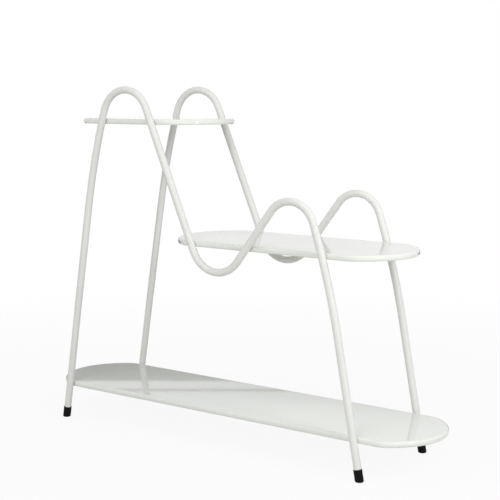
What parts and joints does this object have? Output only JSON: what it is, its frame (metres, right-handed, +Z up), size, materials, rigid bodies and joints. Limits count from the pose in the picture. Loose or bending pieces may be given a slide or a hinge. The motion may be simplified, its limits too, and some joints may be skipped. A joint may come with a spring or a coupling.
{
  "type": "plant stand",
  "caption": "Tiered plant stand: round-ended sheet-steel shelves screwed between wave-bent tube frames with soft foot caps.",
  "frame": {"origin": "on the floor, under the middle of the overall box", "axes": "+X along the shelves towards the low arch, +Y from front frame to rear frame, +Z up"},
  "size_m": [0.7502, 0.201, 0.58],
  "materials": {
    "tube_paint": "semi-gloss white powder coat",
    "shelf_paint": "semi-gloss white powder coat",
    "cap_rubber": "matt black soft cap",
    "zinc_steel": "bright zinc-plated steel"
  },
  "bodies": {
    "root": {"front_frame_tube": "tube_paint", "rear_frame_tube": "tube_paint", "bottom_shelf": "shelf_paint", "middle_shelf": "shelf_paint", "top_shelf": "shelf_paint", "front_left_foot_cap": "cap_rubber", "front_right_foot_cap": "cap_rubber", "rear_left_foot_cap": "cap_rubber", "rear_right_foot_cap": "cap_rubber", "bottom_front_screws": "zinc_steel", "bottom_front_washers": "zinc_steel", "middle_front_screws": "zinc_steel", "middle_front_washers": "zinc_steel", "top_front_screws": "zinc_steel", "top_front_washers": "zinc_steel", "front_frame_inserts": "zinc_steel", "bottom_rear_screws": "zinc_steel", "bottom_rear_washers": "zinc_steel", "middle_rear_screws": "zinc_steel", "middle_rear_washers": "zinc_steel", "top_rear_screws": "zinc_steel", "top_rear_washers": "zinc_steel", "rear_frame_inserts": "zinc_steel"}
  },
  "joints": []
}
